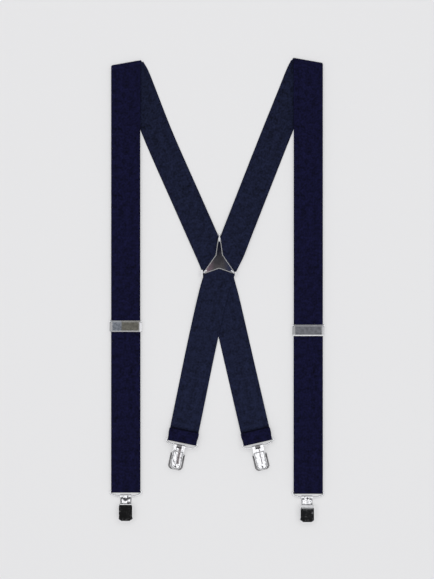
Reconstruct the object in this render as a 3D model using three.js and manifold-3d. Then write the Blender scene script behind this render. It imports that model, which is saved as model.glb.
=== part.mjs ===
// Clip-on dress suspenders with an X back, laid flat with the front straps folded over at the shoulders.
// Millimetres. +Z up off the surface they lie on, +Y towards the shoulders, origin under the middle.
// Left and right are as seen from above, and a back strap is named after the shoulder it comes from.

import * as THREE from "three";
import { mergeVertices } from "three/addons/utils/BufferGeometryUtils.js";
import Module from "manifold-3d";

const wasm = await Module();
wasm.setup();

// ---------------------------------------------------------------- driving dimensions

// Elastic webbing
const WEB_HALF = 17.5; // half of the 35 mm width
const WEB_THICK = 1.2;
const LOW_LAYER = 0.8; // height of the middle of a layer that lies on the table
const FRONT_LAYER = 4.7; // height of the middle of a front strap, which runs over its own tail
const TAIL_LAYER = 0.75;
const SPLIT_GAP = 0.3; // gap where one webbing is split into two nodes
const BEND_STEPS = 8; // segments in a half turn of webbing

// Shoulders: the front strap's line, the fold's place on it, the tilt of the fold in degrees, and how
// far the back layer comes out of the fold to the inner side of the front layer
const SHOULDERS = {
  left: { sign: -1, x: -109.1, foldY: 269.7, tilt: 10, shift: 2.2 },
  right: { sign: 1, x: 109.9, foldY: 272.6, tilt: 10, shift: 1.8 },
};

// Back straps: middle of the webbing from below the shoulder to the clip, as [x, y, height].
// The right one passes over the left one where they cross.
const BACK_ROUTES = {
  left: [
    [-98.8, 257.6, 0.8],
    [-89.3, 234, 0.8],
    [-68, 179.9, 0.8],
    [-32.7, 100, 1.3],
    [-17, 64.5, 2.35],
    [-8.4, 45.2, 2.4],
    [-0.6, 26, 2.4],
    [4.7, 6.7, 2.2],
    [9.9, -12.5, 1.9],
    [18.3, -48.6, 1.1],
    [26.6, -84.7, 0.9],
    [34.9, -120.6, 1.3],
    [43.2, -156.5, 3.7],
  ],
  right: [
    [101.1, 260.2, 0.8],
    [92, 237.6, 0.8],
    [68.7, 179.9, 0.8],
    [37.3, 100, 2.2],
    [23.4, 64.5, 3.8],
    [15.9, 45.2, 3.85],
    [6.3, 26, 3.85],
    [-0.7, 6.7, 3.7],
    [-5.8, -12.5, 3.4],
    [-13.4, -46, 2.65],
    [-21.7, -84.7, 1.7],
    [-28.9, -120.2, 1.7],
    [-36.3, -156.6, 3.8],
  ],
};
const BACK_ENDS = {
  left: { x: 49.6, y: -183.8, turn: 13.06 },
  right: { x: -41.8, y: -183.8, turn: -11.5 },
};
const HEM_LENGTH = 13; // from the strap's end to the raw edge of its hem
const HEM_PATH = [[0.25, 1.6], [0.6, 0.15], [1, -1.05]]; // share of the hem, and its height over the bar
const BACK_LOOP = 16; // length of the loop's under layer

// Front straps: their lower ends, and where the sliding stretch begins
const FRONT_END_Y = { left: -244, right: -245.4 };
const FIXED_END_Y = -110.5; // the strap above this height never shortens
const LOOP_LENGTH = 29; // the doubled end that goes round the clip's ring

// Ring: a D-shaped bail with a straight upper bar and a bowed lower bar
const RING_BAR = 1; // half the thickness of a bar
const RING_HALF = 19.7;
const RING_SIDE = 1.9; // width of a side bar
const BAR_TO_END = 2.45; // from the upper bar's middle to the end of the webbing round it
const BAR_LAYER = 1.85; // from the bar's middle to the middle of the webbing round it
const RING_DROP = 6.65; // from the upper bar's middle to the lower bar's middle
const FRONT_RING_Z = 2.5;
const BACK_RING_Z = 7.65; // the back clips lie face down, so their rings stand higher

// Clip, in its own frame: origin at the ring's lower bar, -Y to the jaws, +Z to the front
const KNUCKLE_R = 2.1;
const KNUCKLE_BORE = 1.3;
const SHEET = 0.8;
const TONGUE_HALF = 6.6;
const TONGUE_END = -28;
const TONGUE_CORNER = 5.4;
const BACK_FACE = -2.1; // outer face of the back jaw
const JAW_UNDER = 1.4; // inner face of the front jaw
const JAW_TOP = 2.1;
const JAW_NECK_HALF = 5.4;
const JAW_HALF = 8;
const JAW_END = -27.9;
const MIDDLE_KNUCKLE = 3; // half the length of the front jaw's knuckle
const GRIP_FACE = -0.65; // the pad's flat face
const PAD_UNDER = -1.1;
const PIN = { y: -9.7, z: 4.65, r: 0.8 };
const CAM_CLOSED = 2.3; // the cam's reach below the pin when the lever is shut
const JAW_TURN_RATIO = 0.06; // jaw angle over lever angle
const LEVER_SWING = 90;
const COVER_HALF = 8.8;
const COVER_TOP = -8.7;
const COVER_END = -29.4;
const COVER_CORNER = 3.4; // chamfer of the corners at its free end
const COVER_UNDER = 6.5;
const COVER_BEVEL = 0.7;

// Adjuster, in its own frame: origin in the middle, height from the table
const ADJUSTER_Y = { left: -43.7, right: -48.7 };
const ADJ_HALF = 19.2;
const ADJ_REACH = 6.9; // half its length along the strap
const ADJ_PIN = { y: 5.6, z: 6.55, r: 0.6 };
const ADJ_CHEEK = 1;
const TAIL_HEM_LENGTH = 14;
const HEM_TOP_LAYER = 3.25;

// Crosspatch: posts of the back wire just outside the webbing, and the plate over it
const WIRE_R = 0.7;
const WIRE_Z = 0.75;
const STUB_Z = 6.1;
const POSTS = { top: [3.3, 65.5], left: [-18.3, 18.8], right: [23.7, 18.3] };
const PLATE_CENTRE = [3, 32];
const PLATE_UNDER = 4.75;
const PLATE_THICK = 0.8;
const RIM_WIDTH = 0.9;
const RIM_HEIGHT = 0.45;
const FERRULE = { r: 1.55, length: 2.6, bore: 1, from: 3.4 };
const STUB_LENGTH = 5.2;
const BEAD_R = 1.3;
// The wire's bent ends, flattened into curls along the webbing's outer edges
const CURLS = [
  { x: -17.9, from: 15.4, to: 23.4, r: 1.75 },
  { x: 22.8, from: 16.6, to: 21.2, r: 1.45 },
];
const CURL_Z = 6.4;

const ROUND = 10; // segments round a small cylinder
const CURVE = 3; // segments in each arc of an outline

// ---------------------------------------------------------------- materials

const finish = (color, roughness, metalness) =>
  new THREE.MeshStandardMaterial({ color, roughness, metalness });
const webFace = () => finish(0x15142e, 0.9, 0);
const webBack = () => finish(0x1b2138, 0.92, 0);
const chrome = () => finish(0xc9ccd1, 0.12, 1);
const satin = () => finish(0x9a9ca0, 0.35, 1);
const plastic = () => finish(0x1c1d20, 0.55, 0);

// ---------------------------------------------------------------- joining and cutting

const UP = new THREE.Vector3(0, 0, 1);

function solid(geometry) {
  const bare = geometry.clone();
  bare.deleteAttribute("normal");
  bare.deleteAttribute("uv");
  const merged = mergeVertices(bare, 1e-4);
  const vertProperties = merged.attributes.position.array;
  const triVerts = new Uint32Array(merged.index.array);
  const mesh = new wasm.Mesh({ numProp: 3, vertProperties, triVerts });
  return new wasm.Manifold(mesh);
}

function surface(made) {
  const mesh = made.getMesh();
  const geometry = new THREE.BufferGeometry();
  geometry.setAttribute("position", new THREE.BufferAttribute(mesh.vertProperties, 3));
  geometry.setIndex(new THREE.BufferAttribute(mesh.triVerts, 1));
  geometry.computeVertexNormals();
  return geometry;
}

const join = (...pieces) => surface(pieces.map(solid).reduce((all, piece) => all.add(piece)));
const cut = (body, ...tools) =>
  surface(tools.map(solid).reduce((left, tool) => left.subtract(tool), solid(body)));

// ---------------------------------------------------------------- plain shapes

function outline(points) {
  const corners = points.map(([x, y]) => new THREE.Vector2(x, y));
  return new THREE.Shape(THREE.ShapeUtils.isClockWise(corners) ? corners.reverse() : corners);
}
const mirrored = (points) => [...points, ...points.map(([x, y]) => [-x, y]).reverse()];

// A flat plate: an outline in plan, between two heights
function plate(shape, low, high) {
  const options = { depth: high - low, bevelEnabled: false, curveSegments: CURVE };
  return new THREE.ExtrudeGeometry(shape, options).translate(0, 0, low);
}

// A prism across the strap: an outline in Y and Z, between two places on X
const ACROSS = new THREE.Matrix4().makeBasis(
  new THREE.Vector3(0, 1, 0),
  new THREE.Vector3(0, 0, 1),
  new THREE.Vector3(1, 0, 0),
);
function prism(shape, left, right) {
  const options = { depth: right - left, bevelEnabled: false, curveSegments: CURVE };
  return new THREE.ExtrudeGeometry(shape, options).applyMatrix4(ACROSS).translate(left, 0, 0);
}

function block(low, high) {
  const size = high.map((value, i) => value - low[i]);
  const middle = high.map((value, i) => (value + low[i]) / 2);
  return new THREE.BoxGeometry(...size).translate(...middle);
}

function rod(from, to, radius, steps = ROUND) {
  const start = new THREE.Vector3(...from);
  const along = new THREE.Vector3(...to).sub(start);
  const turn = new THREE.Quaternion().setFromUnitVectors(
    new THREE.Vector3(0, 1, 0),
    along.clone().normalize(),
  );
  return new THREE.CylinderGeometry(radius, radius, along.length(), steps)
    .applyQuaternion(turn)
    .translate(...start.addScaledVector(along, 0.5));
}

const rodAcross = (y, z, radius, left, right) => rod([left, y, z], [right, y, z], radius);
const ball = (place, radius) =>
  new THREE.SphereGeometry(radius, 6, 4).rotateX(Math.PI / 2).translate(...place);

// A flat band of webbing through stations, each with its middle and half its width as a vector
function band(stations) {
  const last = stations.length - 1;
  const geometry = new THREE.BoxGeometry(2, last, 2, 1, last, 1);
  const places = geometry.attributes.position;
  for (let i = 0; i < places.count; i++) {
    const at = Math.round(places.getY(i) + last / 2);
    const { middle, half } = stations[at];
    const before = stations[Math.max(at - 1, 0)].middle;
    const after = stations[Math.min(at + 1, last)].middle;
    const along = after.clone().sub(before);
    const thick = half.clone().cross(along).setLength(WEB_THICK / 2);
    const place = middle.clone();
    place.addScaledVector(half, places.getX(i)).addScaledVector(thick, places.getZ(i));
    places.setXYZ(i, place.x, place.y, place.z);
  }
  geometry.computeVertexNormals();
  return geometry;
}

// Stations of a half turn round a centre, from below it to above it, bulging along `out`
function halfTurn(centre, out, radius, half) {
  return Array.from({ length: BEND_STEPS + 1 }, (_, i) => {
    const angle = Math.PI * (i / BEND_STEPS - 0.5);
    const middle = centre.clone().addScaledVector(out, radius * Math.cos(angle));
    middle.addScaledVector(UP, radius * Math.sin(angle));
    return { middle, half };
  });
}

// ---------------------------------------------------------------- the group that is exported

const suspenders = new THREE.Group();

function add(name, geometry, material, parent = suspenders) {
  const mesh = new THREE.Mesh(geometry, material);
  mesh.name = name;
  parent.add(mesh);
}

// ---------------------------------------------------------------- straps

// The fold at a shoulder: where it is, its line across the strap, and the way out of it
function foldOf({ sign, x, foldY, tilt, shift }) {
  const turn = THREE.MathUtils.degToRad(tilt);
  const radius = (FRONT_LAYER - LOW_LAYER) / 2;
  const place = new THREE.Vector3(x, foldY, LOW_LAYER + radius);
  const line = new THREE.Vector3(Math.cos(turn), -sign * Math.sin(turn), 0);
  const out = new THREE.Vector3(sign * Math.sin(turn), Math.cos(turn), 0);
  const slant = line.clone().multiplyScalar(WEB_HALF / Math.cos(turn));
  // webbing that crosses the fold at a slant moves along it as it goes round
  const drift = line.clone().multiplyScalar(-sign * shift);
  return { place, line, out, slant, drift, radius };
}

// Side vectors square to a route seen in plan, for webbing that runs towards -Y
function squareStations(points) {
  return points.map((middle, i) => {
    const before = points[Math.max(i - 1, 0)];
    const after = points[Math.min(i + 1, points.length - 1)];
    const along = after.clone().sub(before).setZ(0).normalize();
    return { middle, half: along.cross(UP).multiplyScalar(WEB_HALF) };
  });
}

// The back strap as far as its clip, and the loop that goes round the ring and back to the hem's raw edge
function backStrap(side) {
  const fold = foldOf(SHOULDERS[side]);
  const start = fold.place.clone().add(fold.drift).setZ(LOW_LAYER);
  const end = BACK_ENDS[side];
  const turn = THREE.MathUtils.degToRad(end.turn);
  const on = new THREE.Vector3(Math.sin(turn), -Math.cos(turn), 0);
  const half = on.clone().cross(UP).multiplyScalar(WEB_HALF);
  const bar = new THREE.Vector3(end.x, end.y, BACK_RING_Z).addScaledVector(on, -BAR_TO_END);
  const under = bar.clone().addScaledVector(UP, -BAR_LAYER);
  const route = BACK_ROUTES[side].map((point) => new THREE.Vector3(...point));
  const slope = under.clone().sub(route.at(-1)).normalize();
  const split = under.clone().addScaledVector(slope, -BACK_LOOP);
  const last = split.clone().addScaledVector(slope, -SPLIT_GAP);
  const main = squareStations([start, ...route, last]);
  main[0].half = fold.slant.clone().negate();
  const loop = [{ middle: split, half }, ...halfTurn(bar, on, BAR_LAYER, half)];
  for (const [share, height] of HEM_PATH) {
    const middle = bar.clone().addScaledVector(on, -share * (HEM_LENGTH - BAR_TO_END));
    loop.push({ middle: middle.addScaledVector(UP, height), half });
  }
  return { main: band(main), loop: band(loop) };
}

const towardsFront = (x, y, z) => ({
  middle: new THREE.Vector3(x, y, z),
  half: new THREE.Vector3(-WEB_HALF, 0, 0),
});

for (const [side, shoulder] of Object.entries(SHOULDERS)) {
  const fold = foldOf(shoulder);
  const x = shoulder.x;
  const end = FRONT_END_Y[side];
  const loopY = end + LOOP_LENGTH;

  const { main, loop: backLoop } = backStrap(side);
  add(`back_strap_${side}`, main, webBack());
  add(`back_loop_${side}`, backLoop, webBack());

  const bend = halfTurn(fold.place, fold.out, fold.radius - 0.001, fold.slant.clone().negate());
  bend.forEach(({ middle }, i) => {
    middle.addScaledVector(fold.drift, 1 - i / BEND_STEPS);
    middle.addScaledVector(fold.out, SPLIT_GAP);
  });
  add(`shoulder_fold_${side}`, band(bend), webFace());

  const top = fold.place.clone().setZ(FRONT_LAYER).addScaledVector(fold.out, -SPLIT_GAP);
  const start = { middle: top, half: fold.slant.clone().negate() };
  add(`front_strap_${side}`, band([start, towardsFront(x, FIXED_END_Y, FRONT_LAYER)]), webFace());

  const lower = [FIXED_END_Y - SPLIT_GAP, loopY + SPLIT_GAP];
  add(
    `front_strap_lower_${side}`,
    band(lower.map((y) => towardsFront(x, y, FRONT_LAYER))),
    webFace(),
  );

  const bar = new THREE.Vector3(x, end + BAR_TO_END, FRONT_RING_Z);
  const round = halfTurn(bar, new THREE.Vector3(0, -1, 0), BAR_LAYER, towardsFront(0, 0, 0).half);
  round.reverse();
  const loop = [
    towardsFront(x, loopY, FRONT_LAYER),
    towardsFront(x, loopY - 12, FRONT_LAYER - 0.1),
    ...round,
    towardsFront(x, loopY - 12, TAIL_LAYER - 0.05),
    towardsFront(x, loopY, TAIL_LAYER),
  ];
  add(`front_loop_${side}`, band(loop), webFace());

  const hemY = ADJUSTER_Y[side] - ADJ_REACH + 2.7;
  const tail = [loopY + SPLIT_GAP, hemY - TAIL_HEM_LENGTH - SPLIT_GAP];
  add(`front_tail_${side}`, band(tail.map((y) => {
    const station = towardsFront(x, y, TAIL_LAYER);
    station.half.negate();
    return station;
  })), webFace());

  const middleZ = (HEM_TOP_LAYER + TAIL_LAYER) / 2;
  const hemTurn = halfTurn(
    new THREE.Vector3(x, hemY, middleZ),
    new THREE.Vector3(0, 1, 0),
    HEM_TOP_LAYER - middleZ,
    new THREE.Vector3(WEB_HALF, 0, 0),
  );
  const hemEnds = [TAIL_LAYER, HEM_TOP_LAYER].map((z) => ({
    middle: new THREE.Vector3(x, hemY - TAIL_HEM_LENGTH, z),
    half: new THREE.Vector3(WEB_HALF, 0, 0),
  }));
  add(`front_tail_hem_${side}`, band([hemEnds[0], ...hemTurn, hemEnds[1]]), webFace());
}

// ---------------------------------------------------------------- crosspatch

function crosspatchWire() {
  const corners = Object.values(POSTS);
  const pieces = [];
  corners.forEach(([x, y], i) => {
    const [nextX, nextY] = corners[(i + 1) % corners.length];
    const inward = new THREE.Vector2(PLATE_CENTRE[0] - x, PLATE_CENTRE[1] - y).normalize();
    const stub = [x + inward.x * STUB_LENGTH, y + inward.y * STUB_LENGTH, STUB_Z];
    pieces.push(rod([x, y, WIRE_Z], [nextX, nextY, WIRE_Z], WIRE_R, 6));
    pieces.push(rod([x, y, WIRE_Z], [x, y, STUB_Z], WIRE_R, 6));
    pieces.push(rod([x, y, STUB_Z], stub, WIRE_R, 6));
    pieces.push(ball([x, y, WIRE_Z], WIRE_R));
    pieces.push(ball([x, y, STUB_Z], BEAD_R));
  });
  for (const { x, from, to, r } of CURLS) {
    pieces.push(rod([x, from, CURL_Z], [x, to, CURL_Z], r, 8));
  }
  return join(...pieces);
}

const STAR = [
  [1.6, 60.9],
  [4.8, 60.9],
  [7.4, 41.4],
  [20.9, 21.9],
  [21.2, 18.8],
  [2.9, 25.2],
  [-14.6, 18.9],
  [-14.9, 21.9],
  [-1.2, 41.4],
];

// Moves each corner of an outline inwards, so that every edge moves by the same distance
function inset(points, distance) {
  return points.map(([x, y], i) => {
    const before = points[(i + points.length - 1) % points.length];
    const after = points[(i + 1) % points.length];
    const edgeIn = new THREE.Vector2(x - before[0], y - before[1]).normalize();
    const edgeOut = new THREE.Vector2(after[0] - x, after[1] - y).normalize();
    const miter = new THREE.Vector2(edgeIn.y + edgeOut.y, -edgeIn.x - edgeOut.x).normalize();
    const reach = Math.min(distance / (miter.x * edgeIn.y - miter.y * edgeIn.x), 2.4 * distance);
    return [x + miter.x * reach, y + miter.y * reach];
  });
}

function crosspatchPlate() {
  const top = PLATE_UNDER + PLATE_THICK;
  const rim = outline(STAR);
  rim.holes.push(outline(inset(STAR, RIM_WIDTH)));
  const pieces = [plate(outline(STAR), PLATE_UNDER, top), plate(rim, top - 0.1, top + RIM_HEIGHT)];
  const bores = [];
  for (const [x, y] of Object.values(POSTS)) {
    const inward = new THREE.Vector2(PLATE_CENTRE[0] - x, PLATE_CENTRE[1] - y).normalize();
    const at = (reach) => [x + inward.x * reach, y + inward.y * reach, STUB_Z];
    pieces.push(rod(at(FERRULE.from), at(FERRULE.from + FERRULE.length), FERRULE.r, 8));
    pieces.push(rod(at(FERRULE.from + 2.2), at(FERRULE.from + 4.5), FERRULE.r * 0.75, 8));
    bores.push(rod(at(FERRULE.from - 1), at(FERRULE.from + 2.2), FERRULE.bore, 8));
  }
  return cut(join(...pieces), ...bores);
}

add("crosspatch_plate", crosspatchPlate(), chrome());
add("crosspatch_back_wire", crosspatchWire(), chrome());

// ---------------------------------------------------------------- adjusters

function adjusterFrame() {
  const inner = ADJ_HALF - 0.1 - ADJ_CHEEK;
  const window = [[-17.9, -4.4], [17.9, -4.4], [17.9, 4.4], [-17.9, 4.4]];
  const base = outline([
    [-ADJ_HALF + 0.1, -ADJ_REACH],
    [ADJ_HALF - 0.1, -ADJ_REACH],
    [ADJ_HALF - 0.1, ADJ_REACH],
    [-ADJ_HALF + 0.1, ADJ_REACH],
  ]);
  base.holes.push(outline(window));
  const cheek = new THREE.Shape();
  cheek.moveTo(-ADJ_REACH, 1.5);
  cheek.lineTo(ADJ_REACH, 1.5);
  cheek.lineTo(ADJ_REACH, ADJ_PIN.z);
  cheek.absarc(ADJ_PIN.y, ADJ_PIN.z, ADJ_REACH - ADJ_PIN.y, 0, Math.PI, false);
  cheek.lineTo(2 * ADJ_PIN.y - ADJ_REACH, 5.8);
  cheek.lineTo(-5.7, 5.8);
  cheek.lineTo(-ADJ_REACH, 4.4);
  const frame = join(
    plate(base, 1.5, 2.5),
    prism(cheek, inner, inner + ADJ_CHEEK),
    prism(cheek, -inner - ADJ_CHEEK, -inner),
  );
  return cut(frame, rodAcross(ADJ_PIN.y, ADJ_PIN.z, ADJ_PIN.r + 0.1, -ADJ_HALF - 1, ADJ_HALF + 1));
}

function adjusterLever() {
  const narrow = 17.7;
  const split = 4;
  const wide = outline(mirrored([
    [ADJ_HALF - 1.2, -7],
    [ADJ_HALF, -5.8],
    [ADJ_HALF, split],
    [narrow, split],
    [narrow, ADJ_PIN.y],
  ]));
  const border = wide.clone();
  border.holes.push(outline([[-15.9, -5.6], [15.9, -5.6], [15.9, 4.6], [-15.9, 4.6]]));
  const pieces = [
    plate(wide, 6.1, 7.05),
    plate(border, 7, 7.5),
    rodAcross(ADJ_PIN.y, ADJ_PIN.z, 1.05, -narrow, narrow),
    block([-16, 3.4, 5.9], [16, 4.3, 6.2]),
  ];
  const teeth = 9;
  for (let i = 0; i < teeth; i++) {
    const x = (i - (teeth - 1) / 2) * 3.6;
    pieces.push(block([x - 0.9, 3.4, 5.5], [x + 0.9, 4.3, 6]));
  }
  const bore = rodAcross(ADJ_PIN.y, ADJ_PIN.z, ADJ_PIN.r + 0.12, -ADJ_HALF, ADJ_HALF);
  return cut(join(...pieces), bore);
}

for (const [side, shoulder] of Object.entries(SHOULDERS)) {
  const adjuster = new THREE.Group();
  adjuster.position.set(shoulder.x, ADJUSTER_Y[side], 0);
  suspenders.add(adjuster);
  const pin = rodAcross(ADJ_PIN.y, ADJ_PIN.z, ADJ_PIN.r, -ADJ_HALF + 0.1, ADJ_HALF - 0.1);
  add(`adjuster_frame_${side}`, adjusterFrame(), chrome(), adjuster);
  add(`adjuster_lever_${side}`, adjusterLever(), satin(), adjuster);
  add(`adjuster_pin_${side}`, pin, chrome(), adjuster);
}

// ---------------------------------------------------------------- clips

// The bail, with its origin at the end of the webbing
function ring() {
  const half = RING_HALF;
  const inner = half - RING_SIDE;
  const high = BAR_TO_END + RING_BAR;
  const low = BAR_TO_END - RING_DROP - RING_BAR;
  const bow = outline(mirrored([
    [9.5, low],
    [15.5, low + 1.6],
    [18.2, low + 2.9],
    [half - 0.3, low + 4.4],
    [half, low + 5.6],
    [half, high - 1.6],
    [half - 0.5, high - 0.5],
    [half - 1.6, high],
  ]));
  bow.holes.push(outline(mirrored([
    [9.3, low + 2],
    [15, low + 3.5],
    [17, low + 4.3],
    [inner, low + 5.2],
    [inner, high - 2],
  ])));
  const options = {
    depth: RING_BAR,
    bevelThickness: RING_BAR / 2,
    bevelSize: RING_BAR / 2,
    bevelOffset: -RING_BAR / 2,
    bevelSegments: 1,
  };
  return new THREE.ExtrudeGeometry(bow, options).translate(0, 0, -RING_BAR / 2);
}

// The back jaw's plan, drawn smaller by `less` on its sides and end
function tongue(top, less = 0) {
  const half = TONGUE_HALF - less;
  const end = TONGUE_END + less;
  const corner = TONGUE_CORNER - less;
  const shape = new THREE.Shape();
  shape.moveTo(-half, top);
  shape.lineTo(-half, end + corner);
  shape.absarc(-half + corner, end + corner, corner, Math.PI, 1.5 * Math.PI, false);
  shape.absarc(half - corner, end + corner, corner, 1.5 * Math.PI, 2 * Math.PI, false);
  shape.lineTo(half, top);
  return shape;
}

const STUD_Y = -24.5; // the pad's stud, in the hole near the back jaw's end

function backJaw() {
  const inside = BACK_FACE + SHEET;
  const lip = tongue(-6, 0.4);
  lip.holes.push(tongue(-7.3, 1.6));
  const ear = new THREE.Shape();
  ear.moveTo(-13.2, BACK_FACE + 0.1);
  ear.lineTo(-6.4, BACK_FACE + 0.1);
  ear.lineTo(PIN.y + 1.5, PIN.z);
  ear.absarc(PIN.y, PIN.z, 1.5, 0, Math.PI, false);
  const gap = MIDDLE_KNUCKLE + 0.3;
  const body = join(
    plate(tongue(0), BACK_FACE, inside),
    plate(lip, BACK_FACE - 0.35, BACK_FACE + 0.1),
    prism(ear, TONGUE_HALF - SHEET, TONGUE_HALF),
    prism(ear, -TONGUE_HALF, -TONGUE_HALF + SHEET),
    rodAcross(0, 0, KNUCKLE_R, -TONGUE_HALF, TONGUE_HALF),
  );
  return cut(
    body,
    block([-gap, -2.5, -3], [gap, 3, 3]),
    rodAcross(0, 0, KNUCKLE_BORE, -8, 8),
    rodAcross(PIN.y, PIN.z, PIN.r + 0.1, -8, 8),
    rod([0, STUD_Y, -3], [0, STUD_Y, 0], 1),
  );
}

function frontJaw() {
  const plan = outline(mirrored([
    [JAW_HALF - 1, JAW_END],
    [JAW_HALF, JAW_END + 1],
    [JAW_HALF, -15.6],
    [JAW_NECK_HALF, -13.6],
    [JAW_NECK_HALF, -2.5],
    [MIDDLE_KNUCKLE, -2.5],
    [MIDDLE_KNUCKLE, 0],
  ]));
  const pieces = [
    plate(plan, JAW_UNDER, JAW_TOP),
    rodAcross(0, 0, KNUCKLE_R, -MIDDLE_KNUCKLE, MIDDLE_KNUCKLE),
    block([-JAW_HALF + 0.9, JAW_END, 0.9], [JAW_HALF - 0.9, JAW_END + SHEET, JAW_UNDER + 0.2]),
  ];
  const teeth = 6;
  for (let i = 0; i < teeth; i++) {
    const x = (i - (teeth - 1) / 2) * 2.54;
    pieces.push(block([x - 0.7, JAW_END, 0.05], [x + 0.7, JAW_END + SHEET, 1]));
  }
  return cut(join(...pieces), rodAcross(0, 0, KNUCKLE_BORE, -8, 8));
}

function jawPad() {
  const face = tongue(-17.5, 1);
  const ridge = (y) => block([-4, y, PAD_UNDER + 0.1], [4, y + 0.5, -0.15]);
  return join(
    plate(face, PAD_UNDER, GRIP_FACE),
    ridge(-27.1),
    ridge(-26.2),
    rod([0, STUD_Y, BACK_FACE + 0.05], [0, STUD_Y, GRIP_FACE - 0.1], 0.75),
  );
}

// The pivot pin, with a low head outside each ear
function pivotPin() {
  const head = 7.4;
  const neck = 6.9;
  const profile = [
    [0, -head],
    [1.25, -head],
    [1.25, -neck],
    [PIN.r, -neck],
    [PIN.r, neck],
    [1.25, neck],
    [1.25, head],
    [0, head],
  ].map(([r, along]) => new THREE.Vector2(r, along));
  return new THREE.LatheGeometry(profile, ROUND).rotateZ(Math.PI / 2).translate(0, PIN.y, PIN.z);
}

// The cam's reach when the lever has turned by `angle` degrees: it lets the front jaw rise in step
const camReach = (angle) =>
  CAM_CLOSED + PIN.y * Math.sin(THREE.MathUtils.degToRad(JAW_TURN_RATIO * angle));

function lever() {
  const cover = mirrored([
    [COVER_HALF - COVER_CORNER, COVER_END],
    [COVER_HALF, COVER_END + COVER_CORNER],
    [COVER_HALF, COVER_TOP - 1.8],
    [COVER_HALF - 1.8, COVER_TOP],
  ]);
  const options = {
    depth: 0.5,
    bevelThickness: 0.4,
    bevelSize: COVER_BEVEL,
    bevelOffset: -COVER_BEVEL,
    bevelSegments: 1,
  };
  const bevelled = new THREE.ExtrudeGeometry(outline(cover), options);
  const shell = cut(
    bevelled.translate(0, 0, COVER_UNDER + 0.2),
    block([-12, -40, COVER_UNDER - 2], [12, 0, COVER_UNDER]),
  );
  const flange = outline([
    [COVER_TOP - 2.4, 3.6],
    [COVER_TOP - 2.4, COVER_UNDER + 0.2],
    [COVER_END + COVER_CORNER + 0.2, COVER_UNDER + 0.2],
    [COVER_END + COVER_CORNER + 0.2, 4.6],
    [COVER_END + COVER_CORNER + 1.6, 3.6],
  ]);
  const cam = new THREE.Shape();
  cam.moveTo(PIN.y - 3, COVER_UNDER + 0.1);
  cam.lineTo(PIN.y - CAM_CLOSED, PIN.z);
  cam.absarc(PIN.y, PIN.z, CAM_CLOSED, Math.PI, 1.5 * Math.PI, false);
  const steps = 6;
  for (let i = 1; i <= steps; i++) {
    const angle = (i / steps) * LEVER_SWING;
    const turned = THREE.MathUtils.degToRad(angle);
    const reach = camReach(angle);
    cam.lineTo(PIN.y + reach * Math.sin(turned), PIN.z - reach * Math.cos(turned));
  }
  cam.lineTo(PIN.y + 1, COVER_UNDER + 0.1);
  const body = join(
    shell,
    prism(flange, COVER_HALF - SHEET, COVER_HALF - 0.02),
    prism(flange, -COVER_HALF + 0.02, -COVER_HALF + SHEET),
    prism(cam, 4.3, 5.5),
    prism(cam, -5.5, -4.3),
    block([-4.8, COVER_END + 0.1, 5.2], [4.8, COVER_END + 0.9, COVER_UNDER + 0.2]),
  );
  return cut(body, rodAcross(PIN.y, PIN.z, PIN.r + 0.15, -6, 6));
}

// A ring at the end of a strap with a clip on it. `slip` is how far the clip has slid along the bar
function hanger(name, place, { turn = 0, faceDown = false, slip = 0 }) {
  const group = new THREE.Group();
  group.position.set(...place);
  group.rotation.set(0, faceDown ? Math.PI : 0, THREE.MathUtils.degToRad(turn), "ZYX");
  suspenders.add(group);
  add(`${name}_ring`, ring(), chrome(), group);
  const clip = new THREE.Group();
  clip.position.set(slip, BAR_TO_END - RING_DROP, 0);
  group.add(clip);
  add(`${name}_back_jaw`, backJaw(), chrome(), clip);
  add(`${name}_front_jaw`, frontJaw(), chrome(), clip);
  add(`${name}_lever`, lever(), chrome(), clip);
  add(`${name}_pivot_pin`, pivotPin(), chrome(), clip);
  add(`${name}_jaw_pad`, jawPad(), plastic(), clip);
}

const front = (side) => [SHOULDERS[side].x, FRONT_END_Y[side], FRONT_RING_Z];
const back = (side) => [BACK_ENDS[side].x, BACK_ENDS[side].y, BACK_RING_Z];
hanger("front_left_clip", front("left"), {});
hanger("front_right_clip", front("right"), { slip: -1.5 });
hanger("back_left_clip", back("right"), { turn: BACK_ENDS.right.turn, faceDown: true, slip: 2 });
hanger("back_right_clip", back("left"), { turn: BACK_ENDS.left.turn, faceDown: true, slip: 1.5 });

export default suspenders;
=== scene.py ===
"""Clip-on dress suspenders with an X back, laid flat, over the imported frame. Lengths in metres, +Z up."""

import math

import bpy
from bpy.props import FloatProperty, FloatVectorProperty, PointerProperty
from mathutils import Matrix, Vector


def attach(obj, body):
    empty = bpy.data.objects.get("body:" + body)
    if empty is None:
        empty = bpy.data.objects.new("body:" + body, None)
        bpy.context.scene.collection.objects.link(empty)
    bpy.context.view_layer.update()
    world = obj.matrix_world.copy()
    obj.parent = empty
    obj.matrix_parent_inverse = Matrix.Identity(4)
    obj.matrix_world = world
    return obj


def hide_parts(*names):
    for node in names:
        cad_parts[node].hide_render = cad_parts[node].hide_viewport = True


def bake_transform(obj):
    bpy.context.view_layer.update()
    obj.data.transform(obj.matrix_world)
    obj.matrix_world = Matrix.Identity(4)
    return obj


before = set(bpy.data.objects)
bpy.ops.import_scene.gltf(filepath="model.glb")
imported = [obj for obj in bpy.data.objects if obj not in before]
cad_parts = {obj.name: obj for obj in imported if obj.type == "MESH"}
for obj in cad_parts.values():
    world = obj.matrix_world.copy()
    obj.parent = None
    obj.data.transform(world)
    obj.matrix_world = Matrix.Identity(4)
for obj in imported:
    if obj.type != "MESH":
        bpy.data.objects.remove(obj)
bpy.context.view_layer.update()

bl_info = {
    "name": "Dress suspenders",
    "version": (1, 0, 0),
    "blender": (4, 5, 0),
    "location": "3D View > Sidebar > Suspenders",
    "description": "Finishes clip-on suspenders: webbing, crosspatch, adjusters, rings and clips",
    "category": "Object",
}

MM = 0.001
UP = Vector((0, 0, 1))
SIDES = ("left", "right")

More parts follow.
